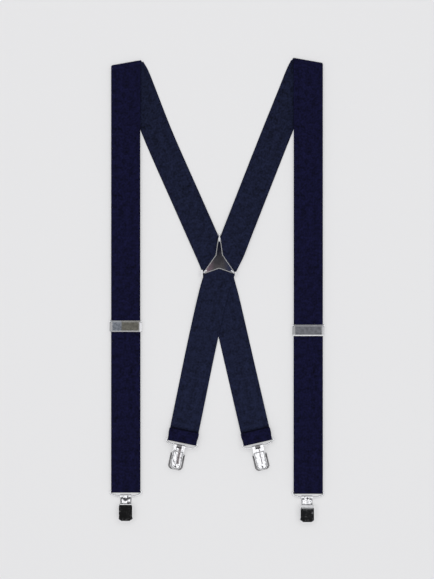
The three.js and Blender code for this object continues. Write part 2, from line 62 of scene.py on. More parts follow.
# ---------------------------------------------------------------- sizes and places in mm, mostly the frame's

WEB_HALF = 17.5
# heights of the middle of the back straps, the front straps, their tails and the tails' hems
LOW_LAYER = 0.8
FRONT_LAYER = 4.7
TAIL_LAYER = 0.75
HEM_TOP_LAYER = 3.25
SHOULDERS = {
    "left": {"sign": -1, "x": -109.1, "fold_y": 269.7, "tilt": 10, "shift": 2.2},
    "right": {"sign": 1, "x": 109.9, "fold_y": 272.6, "tilt": 10, "shift": 1.8},
}
BACK_ROUTES = {
    "left": (
        (-98.8, 257.6, 0.8),
        (-89.3, 234, 0.8),
        (-68, 179.9, 0.8),
        (-32.7, 100, 1.3),
        (-17, 64.5, 2.35),
        (-8.4, 45.2, 2.4),
        (-0.6, 26, 2.4),
        (4.7, 6.7, 2.2),
        (9.9, -12.5, 1.9),
        (18.3, -48.6, 1.1),
        (26.6, -84.7, 0.9),
        (34.9, -120.6, 1.3),
        (43.2, -156.5, 3.7),
    ),
    "right": (
        (101.1, 260.2, 0.8),
        (92, 237.6, 0.8),
        (68.7, 179.9, 0.8),
        (37.3, 100, 2.2),
        (23.4, 64.5, 3.8),
        (15.9, 45.2, 3.85),
        (6.3, 26, 3.85),
        (-0.7, 6.7, 3.7),
        (-5.8, -12.5, 3.4),
        (-13.4, -46, 2.65),
        (-21.7, -84.7, 1.7),
        (-28.9, -120.2, 1.7),
        (-36.3, -156.6, 3.8),
    ),
}
BACK_ENDS = {
    "left": {"x": 49.6, "y": -183.8, "turn": 13.06},
    "right": {"x": -41.8, "y": -183.8, "turn": -11.5},
}
HEM_LENGTH = 14.8  # a little longer than the frame's
HEM_PATH = ((0.25, 1.6), (0.6, 0.15), (1, -1.05))  # share of the hem's length, and height over the bar
HEM_EXTRA = 0.6  # how much wider each side of a hem is
HEM_WIDENS_FROM = 3  # from the ring's bar, clear of the ring's sides
HEM_WIDENS_OVER = 4
# Rows of stitches: distance from the ring, height over its bar, pitch, and half sizes of one stitch
HEM_STITCHES = (
    (9.6, 0.55, 2.3, (0.85, 0.22, 0.2)),
    (11.4, 0.06, 2.3, (0.85, 0.22, 0.2)),
    # the last row is a cord over the hem's raw edge; its dark thread is partly painted shade
    (15.4, -0.95, 1.2, (0.7, 1.15, 0.8)),
)
STITCH_MARGIN = 1.5
BACK_LOOP = 16  # from where a back strap's loop starts to the bar of its ring
FRONT_END_Y = {"left": -244, "right": -245.4}
LOOP_LENGTH = 29
STRETCH_FROM_Y = 190  # a front strap's lower piece runs down from this height
BAR_TO_END = 2.45
BAR_LAYER = 1.85  # from the middle of a ring's bar to the middle of the webbing round it
FRONT_RING_Z = 2.5
BACK_RING_Z = 7.65
RING_WIRE = 0.97
ADJUSTER_Y = {"left": -43.7, "right": -48.7}
ADJ_REACH = 6.9
ADJ_BAR_INSET = 2.7
PANEL_TOP = 7.05  # height of the face of an adjuster's panel
BARREL_FROM = 4.5  # from an adjuster's middle up to its cover's barrel
RIM_LOW_BAR = 5.4  # from an adjuster's middle down to the rim's lower bar
RIM_RIGHT_END = 16.6
# shares of painted highlight on an adjuster's rim
RIM_HIGHLIGHTS = {"left": (0.1, 1), "right": (0.9, 0.5)}  # of an adjuster's lower bar and its right end
TAIL_HEM_LENGTH = 14
PLATE_TOP = 5.55  # height of the face of the crosspatch
LIP_FROM = 2.3  # a tongue's raised lip is farther than this from the height of its ring
# A clip's crease is the one pressed in its tongue and darkened with painted shade: its half width, its place
# aside, and the tone of the blots of painted shade
CLIPS = {
    "front_left_clip": {"end": "front", "side": "left", "shaded_groove": (1.2, 0, 0.5)},
    "front_right_clip": {"end": "front", "side": "right", "shaded_groove": (1.2, 0, 0.5)},
    "back_left_clip": {"end": "back", "side": "right", "shaded_groove": (2.4, 0.4, 0.3)},
    "back_right_clip": {"end": "back", "side": "left", "shaded_groove": (0.7, 0.6, 0.5)},
}

# ---------------------------------------------------------------- settings


class WebbingSettings(bpy.types.PropertyGroup):
    thickness: FloatProperty(
        name="Thickness", description="Thickness of the elastic webbing", default=0.0012, unit="LENGTH"
    )
    rib: FloatProperty(
        name="Rib pitch",
        description="Distance from rib to rib along the webbing",
        default=0.0009,
        unit="LENGTH",
    )
    outer: FloatVectorProperty(
        name="Outer face",
        description="Colour of the face worn outwards",
        default=(0.0037, 0.0038, 0.0212),
        subtype="COLOR",
    )
    inner: FloatVectorProperty(
        name="Inner face",
        description="Colour of the face worn inwards",
        default=(0.0065, 0.0086, 0.0238),
        subtype="COLOR",
    )


class MetalSettings(bpy.types.PropertyGroup):
    edge: FloatProperty(
        name="Edge radius",
        description="Rounding of the pressed metal's edges",
        default=0.00014,
        unit="LENGTH",
    )
    chrome: FloatVectorProperty(
        name="Chrome",
        description="Colour of the polished plating",
        default=(0.62, 0.62, 0.635),
        subtype="COLOR",
    )
    panel: FloatVectorProperty(
        name="Satin",
        description="Colour of the right adjuster's satin panel",
        default=(0.15, 0.152, 0.166),
        subtype="COLOR",
    )


class StageSettings(bpy.types.PropertyGroup):
    floor: FloatVectorProperty(
        name="Floor", description="Colour of the table", default=(0.785, 0.783, 0.79), subtype="COLOR"
    )
    lit: FloatProperty(
        name="Lit share",
        description="Share of the table's brightness that comes from the lights",
        default=0.5,
        subtype="FACTOR",
    )
    light: FloatProperty(
        name="Light", description="Power of the overhead soft box", default=85, unit="POWER"
    )
    height: FloatProperty(
        name="Camera height",
        description="Height of the camera over the table",
        default=1.934,
        unit="LENGTH",
    )


# ---------------------------------------------------------------- shader maths


class Value:
    """A node socket that takes part in Python arithmetic."""

    def __init__(self, shader, socket):
        self.shader = shader
        self.socket = socket

    def __add__(self, other):
        return self.shader.math("ADD", self, other)

    def __radd__(self, other):
        return self.shader.math("ADD", other, self)

    def __sub__(self, other):
        return self.shader.math("SUBTRACT", self, other)

    def __rsub__(self, other):
        return self.shader.math("SUBTRACT", other, self)

    def __mul__(self, other):
        return self.shader.math("MULTIPLY", self, other)

    def __rmul__(self, other):
        return self.shader.math("MULTIPLY", other, self)


class Shader:
    """A new node material, built from expressions."""

    def __init__(self, name):
        self.material = bpy.data.materials.new(name)
        self.material.use_nodes = True
        self.tree = self.material.node_tree
        self.surface = self.tree.nodes["Principled BSDF"]

    def node(self, kind, settings=None, inputs=None, output=0):
        """Makes any node, from its type, its settings and its inputs, and gives one of its outputs."""
        made = self.tree.nodes.new(kind)
        for name, value in (settings or {}).items():
            setattr(made, name, value)
        for name, value in (inputs or {}).items():
            self.feed(made.inputs[name], value)
        return Value(self, made.outputs[output])

    def feed(self, socket, value):
        """Links a value to a socket, or sets the socket to a number or colour."""
        if isinstance(value, Value):
            self.tree.links.new(value.socket, socket)
        elif isinstance(value, (tuple, list)) and len(value) == 3 and socket.type == "RGBA":
            socket.default_value = (*value, 1)
        else:
            socket.default_value = value

    def set(self, **values):
        """Feeds the surface's own sockets, whose names have _ for each space."""
        for name, value in values.items():
            self.feed(self.surface.inputs[name.replace("_", " ")], value)

    def place(self):
        """The place on the object, in metres."""
        return self.node("ShaderNodeTexCoord", None, None, 3)

    def split(self, vector):
        """The x, y and z of a vector."""
        first = self.node("ShaderNodeSeparateXYZ", None, {0: vector})
        return [Value(self, socket) for socket in first.socket.node.outputs]

    def scaled(self, vector, scale, turn=0.0):
        """A vector scaled along its axes and turned about z."""
        inputs = {"Vector": vector, "Rotation": (0.0, 0.0, turn), "Scale": scale}
        return self.node("ShaderNodeMapping", None, inputs)

    def noise(self, vector, scale, detail, roughness=0.5):
        inputs = {"Vector": vector, "Scale": scale, "Detail": detail, "Roughness": roughness}
        return self.node("ShaderNodeTexNoise", None, inputs)

    def math(self, operation, *values):
        return self.node("ShaderNodeMath", {"operation": operation}, dict(enumerate(values)))

    def sine(self, value):
        return self.math("SINE", value)

    def power(self, value, exponent):
        return self.math("POWER", value, exponent)

    def absolute(self, value):
        return self.math("ABSOLUTE", value)

    def above(self, value, limit):
        return self.math("GREATER_THAN", value, limit)

    def clamp(self, value):
        return self.node("ShaderNodeClamp", None, {"Value": value})

    def mix(self, share, first, second):
        inputs = {0: share, 6: first, 7: second}
        return self.node("ShaderNodeMix", {"data_type": "RGBA"}, inputs, 2)

    def bump(self, height, distance, strength):
        inputs = {"Height": height, "Distance": distance, "Strength": strength}
        return self.node("ShaderNodeBump", None, inputs)


# ---------------------------------------------------------------- finishes

WARP_THREADS = 26
SELVAGE_FROM = 0.462  # of the webbing's width, from its middle
BRUSHING = (90.0, 2600.0, 900.0)
WARM_SATIN = (0.125, 0.121, 0.103)
COOL_SATIN = (0.18, 0.195, 0.225)


def toned(color, share):
    """A colour made darker or lighter, in metal or cloth alike."""
    return tuple(c * share for c in color)


def webbing_material(name, color, painted_light=0.0):
    """Ribbed elastic: picks across the band, warp threads along it, and a denser selvage.

    The last argument is painted light: how much lighter the webbing gets over a metre of its length."""
    ribs = 2 * math.pi / bpy.context.scene.webbing_settings.rib
    shader = Shader(name)
    uv = shader.node("ShaderNodeUVMap", {"uv_map": "UVMap"})
    across, along, _ = shader.split(uv)
    wander = shader.noise(uv, 30.0, 2.0) - 0.5
    picks = shader.sine((along + wander * 0.0004) * ribs) * 0.5 + 0.5
    lean = shader.sine(along * (ribs / 2)) * 0.6
    warps = shader.sine(across * (2 * math.pi * WARP_THREADS) + lean) * 0.5 + 0.5
    edge = shader.above(shader.absolute(across - 0.5), SELVAGE_FROM)
    weave = shader.power(picks, 0.7) * 0.6 + warps * 0.4
    level = shader.scaled(uv, (2 * WEB_HALF * MM, 1.0, 1.0))
    fuzz = shader.noise(level, 2400.0, 5.0, 0.7)
    mottle = shader.noise(level, 150.0, 3.0)
    cloud = shader.noise(level, 420.0, 2.0)
    streaks = shader.noise(shader.scaled(uv, (26.0, 14.0, 1.0)), 1.0, 2.0)
    height = weave * (1 - edge * 0.45) + fuzz * 0.35 + edge * 0.25
    patches = (mottle - 0.5) * 1.4 + (cloud - 0.5) * 1.6 + (streaks - 0.5) * 0.35
    # the along term adds painted light, so the webbing is lighter further along its length
    shade = weave * 0.3 + fuzz * 0.2 + patches + along * painted_light + 0.25
    light = tuple(min(1, c * 1.75 + 0.0006) for c in color)
    tint = shader.mix(shade, toned(color, 0.3), light)
    lint = shader.above(shader.noise(level, 2600.0, 2.0), 0.79)
    shader.set(
        Base_Color=shader.mix(lint * 0.12, tint, (0.16, 0.17, 0.22)),
        Roughness=0.78 + fuzz * 0.2,
        Normal=shader.bump(height, 0.00016, 0.7),
        Specular_IOR_Level=0.05,
        Sheen_Weight=0.01,
        Sheen_Roughness=0.5,
    )
    return shader.material


def metal_material(name, color, roughness, brushed=0.0, wear=0.25):
    """Plated metal: a faint orange peel, fine handling scratches and dull spots."""
    shader = Shader(name)
    place = shader.place()
    peel = shader.noise(place, 900.0, 2.0)
    grain = shader.noise(shader.scaled(place, BRUSHING), 1.0, 3.0, 0.6)
    crossed = shader.scaled(place, (260.0, 5200.0, 600.0), turn=0.7)
    scratches = shader.above(shader.noise(crossed, 1.0, 1.0), 0.74)
    smudge = shader.noise(place, 160.0, 3.0)
    relief = peel * 0.25 + grain * brushed - scratches * 0.3
    shader.set(
        Base_Color=shader.mix(smudge * wear + grain * brushed, color, toned(color, 0.72)),
        Metallic=1.0,
        Roughness=roughness + smudge * (0.1 * wear) + scratches * (0.16 * wear) + grain * (0.22 * brushed),
        Normal=shader.bump(relief, 0.00002 + 0.00003 * brushed, 0.35),
    )
    return shader.material


def neck_material():
    """Polished pressed steel, dented, with dark blots of painted shade in its dents."""
    metal = bpy.context.scene.metal_settings
    shader = Shader("pressed_neck")
    place = shader.place()
    dents_and_shade = shader.noise(place, 330.0, 2.0)
    grain = shader.noise(place, 1300.0, 2.0)
    shader.set(
        # the dark blots are painted shade
        Base_Color=shader.mix((dents_and_shade - 0.5) * 9 + 0.3, tuple(metal.chrome), (0.05, 0.05, 0.055)),
        Metallic=1.0,
        Roughness=0.1 + grain * 0.06,
        Normal=shader.bump(dents_and_shade, 0.0005, 0.6),
    )
    return shader.material


def satin_material(name, warm, cool, edge):
    """A satin panel, streaked and blotched, that is warm to the right of an edge and cool to its left."""
    shader = Shader(name)
    place = shader.place()
    beyond = (shader.split(place)[0] - edge) * 900 + 0.5
    blotch = shader.noise(place, 330.0, 3.0)
    grain = shader.noise(place, 1500.0, 3.0, 0.6)
    brushed = shader.noise(shader.scaled(place, BRUSHING), 1.0, 3.0, 0.6)
    tone = shader.mix(beyond, cool, warm)
    dark = shader.mix(beyond, toned(cool, 0.4), toned(warm, 0.6))
    shader.set(
        Base_Color=shader.mix((blotch - 0.5) * 2.6 + (grain - 0.5) * 1.2 + 0.4, tone, dark),
        Metallic=1.0,
        Roughness=0.26 + blotch * 0.1 + brushed * 0.08,
        Normal=shader.bump(brushed + grain * 0.5, 0.00004, 0.4),
    )
    return shader.material


def rim_material(side):
    """An adjuster's rim: chrome darkened with painted shade, with painted highlights along its lower bar and
    its right end.
    """
    chrome = bpy.context.scene.metal_settings.chrome
    low_highlight, end_highlight = RIM_HIGHLIGHTS[side]
    shader = Shader(f"adjuster_rim_{side}")
    place = shader.place()
    x, y, _ = shader.split(place)
    grain = shader.noise(place, 700.0, 3.0)
    # bright is the painted highlight; the rim's darker chrome is painted shade
    bright = toned(chrome, 0.95)
    low = ((ADJUSTER_Y[side] - RIM_LOW_BAR) * MM - y) * 2500 + 0.5
    end = (x - (SHOULDERS[side]["x"] + RIM_RIGHT_END) * MM) * 1500
    tone = shader.mix(shader.clamp(low + (grain - 0.5) * 0.5) * low_highlight, toned(chrome, 0.45), bright)
    shader.set(
        Base_Color=shader.mix(shader.clamp(end + (grain - 0.5)) * end_highlight, tone, bright),
        Metallic=1.0,
        Roughness=0.36 + grain * 0.12,
        Normal=shader.bump(grain, 0.00003, 0.3),
    )
    return shader.material


def pressed_material(name, spec):
    """Bright pressed steel with blots of painted shade, and a crease pressed along the middle of a clip's
    tongue and darkened with painted shade.
    """
    half, shift, tone = spec["shaded_groove"]
    chrome = tuple(bpy.context.scene.metal_settings.chrome)
    middle, on = ring_middle(spec["end"], spec["side"])
    across = on.cross(UP)
    origin = middle * MM
    shader = Shader(f"pressed_{name}")
    place = shader.place()
    x, y, _ = shader.split(place)
    aside = x * across.x + y * across.y - (origin.dot(across) + shift * MM)
    ahead = x * on.x + y * on.y - origin.dot(on)
    wave = shader.noise(place, 300.0, 2.0)
    grain = shader.noise(place, 1300.0, 2.0)
    reach = 1 - shader.absolute(aside + (wave - 0.5) * 0.0009) * (1 / (half * MM))
    ends = shader.above(ahead, 0.0045) * (1 - shader.above(ahead, 0.0252))
    shaded_groove = shader.clamp(reach * ends * 1.6)
    # blots of painted shade
    steel = shader.mix((wave - 0.56) * 7, chrome, toned(chrome, tone))
    shader.set(
        # the crease is darkened with painted shade
        Base_Color=shader.mix(shaded_groove, steel, (0.13, 0.115, 0.12)),
        Metallic=1.0,
        Roughness=0.07 + grain * 0.06,
        Normal=shader.bump(wave * 0.6 - shaded_groove, 0.0003, 0.5),
    )
    return shader.material


def patch_material():
    """The crosspatch's mirror, with painted reflections: dark at its top, and rosy and blue at its lower
    corners.
    """
    shader = Shader("patch_mirror")
    place = shader.place()
    x, y, _ = shader.split(place)
    haze = (shader.noise(place, 150.0, 3.0) - 0.5) * 0.8
    grain = shader.noise(place, 1100.0, 2.0)
    tone = shader.mix((y - 0.027) * 45 + haze, (0.34, 0.32, 0.31), (0.04, 0.045, 0.085))
    tone = shader.mix((-0.003 - x) * 120 + haze, tone, (0.95, 0.66, 0.74))
    shader.set(
        Base_Color=shader.mix((x - 0.008) * 140, tone, (0.13, 0.15, 0.28)),
        Metallic=1.0,
        Roughness=0.03 + grain * 0.03,
        Normal=shader.bump(grain, 0.00001, 0.3),
    )
    return shader.material


def plastic_material():
    """The black plastic of the grip pads."""
    shader = Shader("moulded_grip")
    grain = shader.noise(shader.place(), 1800.0, 3.0)
    shader.set(
        Base_Color=shader.mix(grain, (0.012, 0.012, 0.014), (0.03, 0.03, 0.034)),
        Roughness=0.5 + grain * 0.2,
        Normal=shader.bump(grain, 0.00006, 0.6),
    )
    return shader.material


def thread_material():
    """The dark thread of the hems; at a hem's raw edge its darkness also stands in for painted shade."""
    shader = Shader("navy_thread")
    twist = shader.noise(shader.place(), 3000.0, 2.0)
    shader.set(
        Base_Color=shader.mix(twist, (0.0008, 0.0008, 0.0045), (0.0035, 0.0035, 0.012)),
        Roughness=0.7 + twist * 0.2,
        Normal=shader.bump(twist, 0.00008, 0.6),
        Specular_IOR_Level=0.04,
    )
    return shader.material


def material(name):
    """A material by name, made the first time it is asked for."""
    found = bpy.data.materials.get(name)
    if found:
        return found
    web, metal = bpy.context.scene.webbing_settings, bpy.context.scene.metal_settings
    chrome, panel = tuple(metal.chrome), tuple(metal.panel)
    makers = {
        "webbing_outer": lambda: webbing_material(name, tuple(web.outer)),
        # the inner face gets painted light that grows along its length
        "webbing_inner": lambda: webbing_material(name, tuple(web.inner), painted_light=0.4),
        "polished_chrome": lambda: metal_material(name, chrome, 0.05),
        "mirror_chrome": lambda: metal_material(name, toned(chrome, 0.6), 0.012, wear=0.1),
        # chrome darkened as painted shade, satin and with dull spots, for rims and lips
        "worn_and_shaded_edge": lambda: metal_material(name, toned(chrome, 0.42), 0.42, wear=0.5),
        # dull steel, darkened further as painted shade on inner faces
        "dull_and_shaded_inside": lambda: metal_material(name, (0.2, 0.195, 0.2), 0.45, brushed=0.3),
        "satin_panel": lambda: satin_material(name, panel, panel, 0.0),
        "satin_panel_left": lambda: satin_material(name, WARM_SATIN, COOL_SATIN, -0.114),
        "pressed_neck": neck_material,
        "patch_mirror": patch_material,
        "moulded_grip": plastic_material,
        "navy_thread": thread_material,
    }
    return makers[name]()


# ---------------------------------------------------------------- modelling


def deselect():
    """An operator acts on all that is selected, so each piece starts from nothing."""
    bpy.ops.object.select_all(action="DESELECT")


def only(obj):
    """Selects an object alone."""
    deselect()
    obj.select_set(True)
    bpy.context.view_layer.objects.active = obj


def apply_modifier(obj, kind, **settings):
    """Adds a modifier with the settings given, and applies it."""
    only(obj)
    modifier = obj.modifiers.new(kind.title(), kind)
    for name, value in settings.items():
        setattr(modifier, name, value)
    bpy.ops.object.modifier_apply(modifier=modifier.name)


def settle(obj):
    """Puts an object's place into its mesh."""
    only(obj)
    bpy.ops.object.transform_apply(location=True, rotation=True, scale=True)


def stand_in(obj, body, node):
    """A piece that shows in place of a node of the frame and moves with a body."""
    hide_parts(node)
    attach(obj, body)
    return obj


def stretch(obj, node, start, end):
    """Webbing that shows in place of a node, its place baked into its mesh; the two places in mm, start and
    end, are not used.
    """
    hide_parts(node)
    tuple(c * MM for c in start)
    tuple(c * MM for c in end)
    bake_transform(obj)


# across the band: place from -1 to 1, and the share of the full thickness there
PROFILE = (
    (-1, 0.3),
    (-0.988, 0.75),
    (-0.96, 1),
    (-0.9, 1),
    (-0.6, 1),
    (-0.3, 1),
    (0, 1),
    (0.3, 1),
    (0.6, 1),
    (0.9, 1),
    (0.96, 1),
    (0.988, 0.75),
    (1, 0.3),
)


def ribbon(name, stations, faces=("webbing_outer", "webbing_inner")):
    """A band of webbing through stations of (middle, half width, skew) in mm, its length in its UV map.

    The first of its two faces looks along half x forward. Skew is how far the +half edge runs ahead."""
    thickness = bpy.context.scene.webbing_settings.thickness
    deselect()
    bpy.ops.mesh.primitive_grid_add(
        x_subdivisions=len(PROFILE) - 1, y_subdivisions=len(stations) - 1, size=2, calc_uvs=True
    )
    obj = bpy.context.object
    obj.name = name
    mesh = obj.data
    columns = sorted({round(v.co.x, 4) for v in mesh.vertices})
    rows = sorted({round(v.co.y, 4) for v in mesh.vertices})
    if len(columns) != len(PROFILE) or len(rows) != len(stations):
        raise RuntimeError(f"{name}: the grid has {len(columns)} by {len(rows)} points")
    length = [0.0]
    for before, after in zip(stations, stations[1:]):
        length.append(length[-1] + (after[0] - before[0]).length)
    group = obj.vertex_groups.new(name="thickness")
    at = {}
    for vertex in mesh.vertices:
        column = columns.index(round(vertex.co.x, 4))
        row = rows.index(round(vertex.co.y, 4))
        across, share = PROFILE[column]
        middle, half, skew = stations[row]
        vertex.co = (middle + half * across) * MM
        at[vertex.index] = (0.5 + across / 2, (length[row] + skew * across) * MM)
        group.add([vertex.index], share, "REPLACE")
    uv = mesh.uv_layers.active
    uv.name = "UVMap"
    for loop in mesh.loops:
        uv.data[loop.index].uv = at[loop.vertex_index]
    for face in faces:
        mesh.materials.append(material(face))
    apply_modifier(
        obj,
        "SOLIDIFY",
        thickness=thickness,
        offset=0,
        use_even_offset=True,
        vertex_group="thickness",
        thickness_vertex_group=0.0,
        material_offset=1,
        material_offset_rim=0,
    )
    only(obj)
    bpy.ops.object.shade_smooth_by_angle(angle=math.radians(50))
    return obj


def spline(points, step):
    """A smooth path through points, with a station about every step mm."""
    path = []
    ends = [points[0] * 2 - points[1], *points, points[-1] * 2 - points[-2]]
    for p0, p1, p2, p3 in zip(ends, ends[1:], ends[2:], ends[3:]):
        count = max(1, round((p2 - p1).length / step))
        linear = p2 - p0
        square_term = 2 * p0 - 5 * p1 + 4 * p2 - p3
        cube_term = 3 * p1 - p0 - 3 * p2 + p3
        for i in range(count):
            t = i / count
            path.append(0.5 * (2 * p1 + linear * t + square_term * t**2 + cube_term * t**3))
    return [*path, points[-1]]


TURN_STEPS = 14  # in a half turn of the webbing


def half_turn(centre, out, radius, half, skew=0.0):
    """Stations round a half circle, from below its centre to above it."""
    stations = []
    for i in range(TURN_STEPS + 1):
        angle = math.pi * (i / TURN_STEPS - 0.5)
        middle = centre + out * (radius * math.cos(angle)) + UP * (radius * math.sin(angle))
        stations.append((middle, half, skew))
    return stations


def fold_of(side):
    """The fold at a shoulder: its middle, its line, the way out of it, and the webbing's shift along it."""
    shoulder = SHOULDERS[side]
    sign, tilt = shoulder["sign"], math.radians(shoulder["tilt"])
    radius = (FRONT_LAYER - LOW_LAYER) / 2
    line = Vector((math.cos(tilt), -sign * math.sin(tilt), 0))
    return {
        "place": Vector((shoulder["x"], shoulder["fold_y"], LOW_LAYER + radius)),
        "out": Vector((sign * math.sin(tilt), math.cos(tilt), 0)),
        "half": line * (-WEB_HALF / math.cos(tilt)),
        "drift": line * (-sign * shoulder["shift"]),
        "radius": radius,
        "skew": sign * WEB_HALF * math.tan(tilt),
    }


def ring_middle(end, side):
    """A ring's origin at the end of the webbing, and the way that end points."""
    if end == "front":
        return Vector((SHOULDERS[side]["x"], FRONT_END_Y[side], FRONT_RING_Z)), Vector((0, -1, 0))
    turn = math.radians(BACK_ENDS[side]["turn"])
    place = Vector((BACK_ENDS[side]["x"], BACK_ENDS[side]["y"], BACK_RING_Z))
    return place, Vector((math.sin(turn), -math.cos(turn), 0))


def square(points, first_half, first_skew):
    """Stations whose width is square to the path in plan, but for the first, which lies on a fold."""
    stations = []
    for i, middle in enumerate(points):
        forward = points[min(i + 1, len(points) - 1)] - points[max(i - 1, 0)]
        forward.z = 0
        half = forward.normalized().cross(UP) * WEB_HALF
        stations.append((middle, half, 0.0))
    stations[0] = (points[0], first_half, first_skew)
    return stations


def back_strap(side):
    """A back strap, from its shoulder's fold to its ring, and the hemmed loop round the ring."""
    fold = fold_of(side)
    start = fold["place"] + fold["drift"]
    start.z = LOW_LAYER
    place, on = ring_middle("back", side)
    bar = place - on * BAR_TO_END
    under = bar - UP * BAR_LAYER
    route = [Vector(point) for point in BACK_ROUTES[side]]
    slope = (under - route[-1]).normalized()
    split = under - slope * BACK_LOOP
    main = square(spline([start, *route, split], 9), fold["half"], fold["skew"])
    half = on.cross(UP) * WEB_HALF
    main[-1] = (split, half, 0.0)
    faces = ("webbing_inner", "webbing_outer")
    strap = ribbon(f"back_webbing_{side}", main, faces)
    stand_in(strap, "back_harness", f"back_strap_{side}")

    run = [(split + (under - split) * share, half, 0.0) for share in (0, 0.5)]
    turn = half_turn(bar, on, BAR_LAYER, half)
    hem = [turn[-1][0]]
    for share, height in HEM_PATH:
        hem.append(bar - on * (share * (HEM_LENGTH - BAR_TO_END)) + UP * height)
    hem_path = []
    for middle in spline(hem, 1.5):
        spread = min(1, max(0, ((bar - middle).dot(on) - HEM_WIDENS_FROM) / HEM_WIDENS_OVER))
        hem_path.append((middle, half * (1 + spread * HEM_EXTRA / WEB_HALF), 0.0))
    loop = ribbon(f"back_webbing_loop_{side}", [*run, *turn[:-1], *hem_path], faces)
    stand_in(loop, "back_harness", f"back_loop_{side}")


def front_line(side, ys, z):
    """Stations straight down a front strap."""
    x = SHOULDERS[side]["x"]
    return [(Vector((x, y, z)), Vector((-WEB_HALF, 0, 0)), 0.0) for y in ys]


def steps_between(start, end, step):
    """Numbers from start to end, about a step apart."""
    count = max(1, round(abs(end - start) / step))
    return [start + (end - start) * i / count for i in range(count + 1)]


def shoulder_fold(side):
    """The fold at a shoulder, a half turn of webbing up from the back strap's layer to the front strap's."""
    fold = fold_of(side)
    place = fold["place"]
    turn = half_turn(place, fold["out"], fold["radius"], fold["half"], fold["skew"])
    bend = []
    for i, (middle, half, skew) in enumerate(turn):
        bend.append((middle + fold["drift"] * (1 - i / (len(turn) - 1)), half, skew))
    shoulder = ribbon(f"shoulder_webbing_{side}", bend)
    low, high = (place.x, place.y, LOW_LAYER), (place.x, place.y, FRONT_LAYER)
    stretch(shoulder, f"shoulder_fold_{side}", low, high)


def front_strap(side):
    """A front strap down to its ring, the loop round the ring, and the tail under the strap."""
    fold = fold_of(side)
    x = SHOULDERS[side]["x"]
    top = fold["place"].copy()
    top.z = FRONT_LAYER
    upper = [(top, fold["half"], -fold["skew"])]
    upper += front_line(side, steps_between(top.y - 6, STRETCH_FROM_Y, 10), FRONT_LAYER)
    stand_in(ribbon(f"front_webbing_{side}", upper), f"front_{side}", f"front_strap_{side}")

    loop_y = FRONT_END_Y[side] + LOOP_LENGTH
    line = front_line(side, steps_between(STRETCH_FROM_Y, loop_y, 6), FRONT_LAYER)
    start, end = (x, STRETCH_FROM_Y, FRONT_LAYER), (x, loop_y, FRONT_LAYER)
    lower = ribbon(f"front_webbing_lower_{side}", line)
    stretch(lower, f"front_strap_lower_{side}", start, end)

    origin, on = ring_middle("front", side)
    bar = origin - on * BAR_TO_END
    half = Vector((-WEB_HALF, 0, 0))
    turn = half_turn(bar, on, BAR_LAYER, half)
    turn.reverse()
    over = [Vector((x, loop_y, FRONT_LAYER)), Vector((x, loop_y - 12, FRONT_LAYER - 0.1)), turn[0][0]]
    under = [turn[-1][0], Vector((x, loop_y - 12, TAIL_LAYER - 0.05)), Vector((x, loop_y, TAIL_LAYER))]
    loop = [(middle, half, 0.0) for middle in spline(over, 3)[:-1]]
    loop += turn
    loop += [(middle, half, 0.0) for middle in spline(under, 3)[1:]]
    turned = ribbon(f"front_webbing_loop_{side}", loop)
    stand_in(turned, f"front_loop_{side}", f"front_loop_{side}")

    hem_y = ADJUSTER_Y[side] - ADJ_REACH + ADJ_BAR_INSET
    hem_start = hem_y - TAIL_HEM_LENGTH
    line = front_line(side, steps_between(loop_y, hem_start, 6), TAIL_LAYER)
    start, end = (x, loop_y, TAIL_LAYER), (x, hem_start, TAIL_LAYER)
    tail = ribbon(f"tail_webbing_{side}", line)
    stretch(tail, f"front_tail_{side}", start, end)

    middle_z = (HEM_TOP_LAYER + TAIL_LAYER) / 2
    turn = half_turn(Vector((x, hem_y, middle_z)), Vector((0, 1, 0)), HEM_TOP_LAYER - middle_z, half)
    hem = front_line(side, steps_between(hem_start, hem_y - 1, 4), TAIL_LAYER) + turn
    hem += front_line(side, steps_between(hem_y - 1, hem_start, 4), HEM_TOP_LAYER)
    hemmed = ribbon(f"tail_webbing_hem_{side}", hem)
    stand_in(hemmed, f"adjuster_{side}", f"front_tail_hem_{side}")


FLAT_AREA = 12 * MM**2  # level faces at least this large stay exactly flat
FINE_EDGE = 0.0001


def metal_copy(node, name, body, finish="polished_chrome", edge=None, limit=41):
    """A frame solid with its flat faces made whole and its edges rounded."""
    edge = edge or bpy.context.scene.metal_settings.edge
    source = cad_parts[node]
    obj = bpy.data.objects.new(name, source.data.copy())
    bpy.context.scene.collection.objects.link(obj)
    only(obj)
    obj.data.materials.clear()
    obj.data.materials.append(material(finish))
    bpy.ops.object.mode_set(mode="EDIT")
    bpy.ops.mesh.select_all(action="SELECT")
    bpy.ops.mesh.remove_doubles(threshold=2e-6)
    bpy.ops.mesh.dissolve_limited(angle_limit=math.radians(0.6))
    bpy.ops.object.mode_set(mode="OBJECT")
    apply_modifier(
        obj,
        "BEVEL",
        width=edge,
        segments=3,
        limit_method="ANGLE",
        angle_limit=math.radians(limit),
        miter_outer="MITER_ARC",
        use_clamp_overlap=True,
    )
    only(obj)
    bpy.ops.object.shade_smooth_by_angle(angle=math.radians(38))
    for face in obj.data.polygons:
        if abs(face.normal.z) > 0.9995 and face.area > FLAT_AREA:
            face.use_smooth = False
    return stand_in(obj, body, node)


def paint(obj, finish, chosen):
    """Gives another finish to the faces that chosen picks by their middle and normal."""
    obj.data.materials.append(finish)
    index = len(obj.data.materials) - 1
    for face in obj.data.polygons:
        if chosen(face.center, face.normal):
            face.material_index = index


